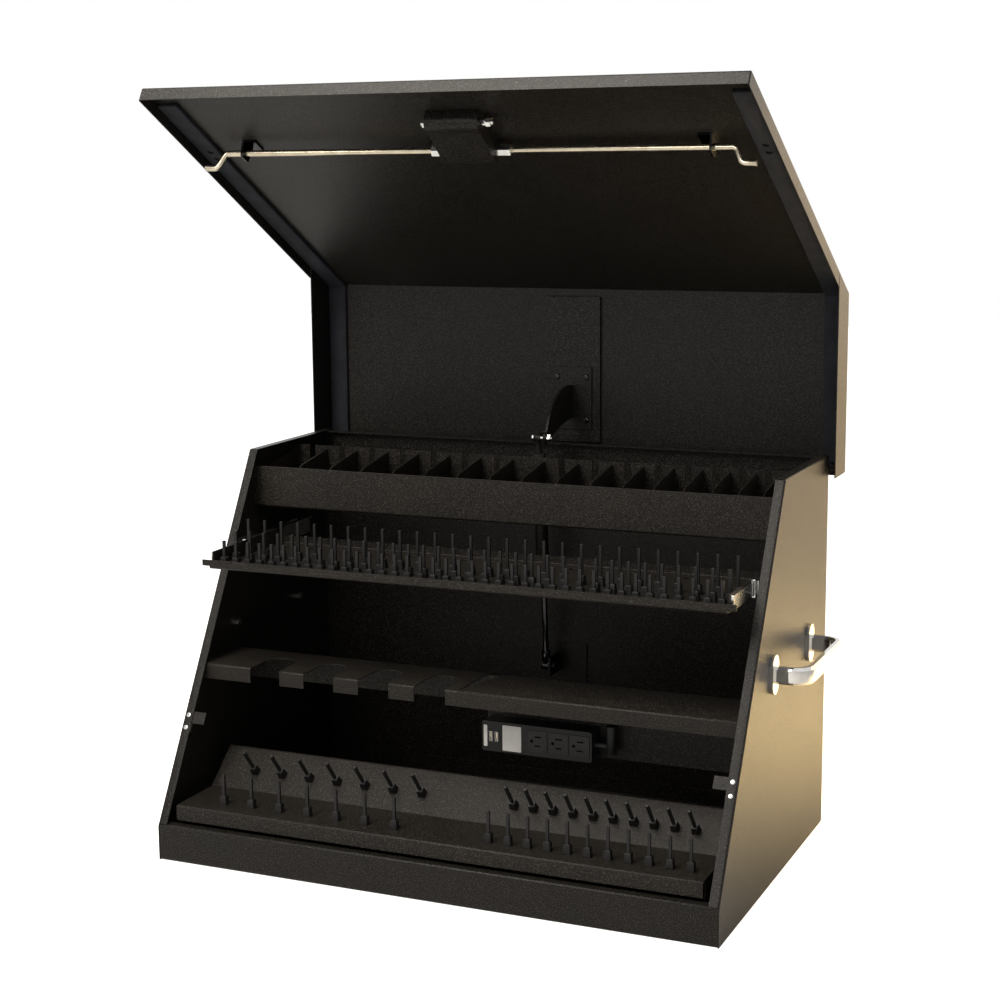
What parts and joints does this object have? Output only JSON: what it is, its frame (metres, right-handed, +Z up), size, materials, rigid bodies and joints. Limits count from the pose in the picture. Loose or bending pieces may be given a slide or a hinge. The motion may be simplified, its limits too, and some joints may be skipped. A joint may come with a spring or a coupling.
{
  "type": "portable tool workstation",
  "caption": "Slant-front steel tool workstation with a two-panel lid on a rear hinge, a wrench rack, socket trays, a tool rack and side pulls.",
  "frame": {"origin": "middle of the case's flat underside", "axes": "+X to the right seen from the front, +Y to the back, +Z up"},
  "size_m": [0.862, 0.527, 0.9941],
  "materials": {
    "powder_black": "black powder coat with a fine grain",
    "powder_brown": "dark brown-black powder coat",
    "zinc": "bright zinc plate",
    "brass_zinc": "yellow zinc plate",
    "chrome": "polished chrome plate",
    "black_plastic": "satin black plastic",
    "dark_plastic": "semi-gloss dark plastic",
    "black_rod": "black nitrided steel rod",
    "foam": "black closed-cell foam"
  },
  "bodies": {
    "case": {"side_panel_left": "powder_black", "side_panel_right": "powder_black", "base_pan": "powder_black", "back_panel": "powder_black", "hinge_rail": "powder_black", "hinge_leaf_case": "zinc", "hinge_pin": "zinc", "wrench_rack": "powder_brown", "rack_fins": "powder_brown", "tool_shelf": "powder_brown", "tool_rack": "powder_brown", "rack_bracket": "powder_brown", "lower_tray": "powder_brown", "upright_pegs": "black_plastic", "leaning_pegs": "black_plastic", "strip_box": "black_plastic", "strip_outlets": "dark_plastic", "strip_usb": "dark_plastic", "strikes": "powder_black", "side_pull_left": "chrome", "side_pull_right": "chrome", "pull_bolts": "zinc", "slide_channels": "zinc", "strut_foot": "powder_black"},
    "lid": {"lid_shell": "powder_black", "lid_gaskets": "foam", "hinge_leaf_lid": "zinc", "strut_channel": "powder_black", "strut_bracket": "powder_black", "lid_bolts": "zinc", "latch_body": "powder_black", "handle_rose": "chrome", "rod_guide_left": "zinc", "rod_guide_right": "zinc"},
    "latch": {"latch_hub": "zinc", "latch_rod_left": "brass_zinc", "latch_rod_right": "brass_zinc"},
    "handle": {"turn_handle": "chrome"},
    "plug": {"lock_plug": "chrome"},
    "tray": {"upper_tray": "powder_brown", "tray_pegs_front": "black_plastic", "tray_pegs_middle": "black_plastic", "tray_pegs_rear": "black_plastic", "slide_bars": "zinc"},
    "strut_tube": {"strut_cylinder": "powder_black"},
    "strut_piston": {"strut_rod": "black_rod"}
  },
  "joints": [
    {"name": "lid_hinge", "type": "hinge", "parent": "case", "child": "lid", "pos_m": [0, 0.255, 0.484], "axis": [1, 0, 0], "range_deg": [0, 90]},
    {"name": "tray_slide", "type": "slide", "parent": "case", "child": "tray", "axis": [0, 1, 0], "range_m": [0, 0.085]},
    {"name": "handle_turn", "type": "hinge", "parent": "lid", "child": "handle", "pos_m": [0, -0.10055, 0.9418], "axis": [0, -0.4949, -0.8689], "range_deg": [0, 90]},
    {"name": "latch_turn", "type": "hinge", "parent": "lid", "child": "latch", "pos_m": [0, -0.07793, 0.91281], "axis": [-1, 0, 0], "range_deg": [0, 68.2]},
    {"name": "lock_turn", "type": "hinge", "parent": "handle", "child": "plug", "pos_m": [0, -0.10055, 0.9418], "axis": [0, -0.4949, -0.8689], "range_deg": [0, 90]},
    {"name": "strut_pivot", "type": "hinge", "parent": "lid", "child": "strut_tube", "pos_m": [-0.012, 0.18, 0.521], "axis": [-1, 0, 0], "range_deg": [0, 97.55]},
    {"name": "strut_travel", "type": "slide", "parent": "strut_tube", "child": "strut_piston", "axis": [0, -0.0843, 0.9964], "range_m": [0, 0.11315]}
  ],
  "couplings": [
    {"joint": "tray_slide", "follows": "lid_hinge", "m_per_rad": 0.0541},
    {"joint": "latch_turn", "follows": "handle_turn", "ratio": 0.75556},
    {"joint": "strut_pivot", "follows": "lid_hinge", "ratio": 1.0828},
    {"joint": "strut_travel", "follows": "lid_hinge", "m_per_rad": 0.071909}
  ]
}
